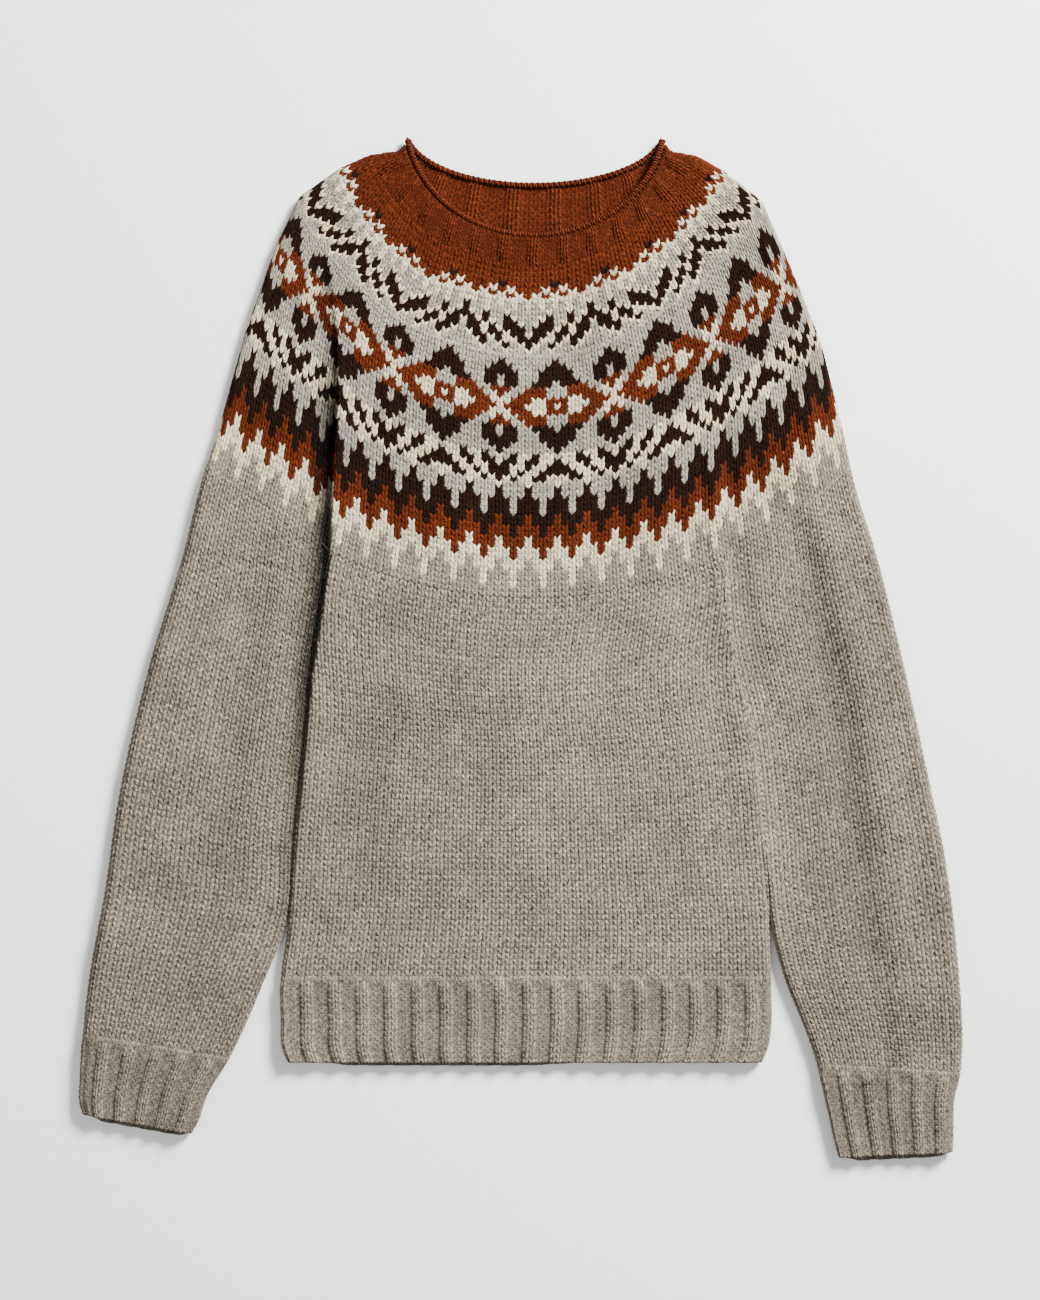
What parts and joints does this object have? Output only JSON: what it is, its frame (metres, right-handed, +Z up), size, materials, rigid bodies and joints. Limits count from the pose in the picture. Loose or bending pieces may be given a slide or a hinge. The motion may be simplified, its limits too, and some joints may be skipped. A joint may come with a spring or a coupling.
{
  "type": "fair isle sweater laid flat",
  "caption": "Long-sleeved pullover laid flat, with a circular stranded yoke in rust, brown and cream on grey, a ribbed neckband with a rolled edge, and ribbed hem and cuffs.",
  "frame": {"origin": "middle of the base, on the surface that the outer back rests on", "axes": "+Z up through the panels, +Y from the hem to the neck, +X to the viewer's right as the front is seen"},
  "size_m": [0.666, 0.7724, 0.0123],
  "materials": {
    "patterned_wool": "matte stranded stockinette in grey, cream, rust and dark brown wool",
    "rust_wool": "matte ribbed wool, rust with darker flecks",
    "grey_wool": "matte marled stockinette and rib, warm grey"
  },
  "bodies": {
    "root": {"yoke": "patterned_wool", "neckband": "rust_wool", "neck_roll": "rust_wool", "body": "grey_wool", "hem_rib": "grey_wool", "sleeve_left": "grey_wool", "sleeve_right": "grey_wool", "cuff_left": "grey_wool", "cuff_right": "grey_wool"}
  },
  "joints": []
}
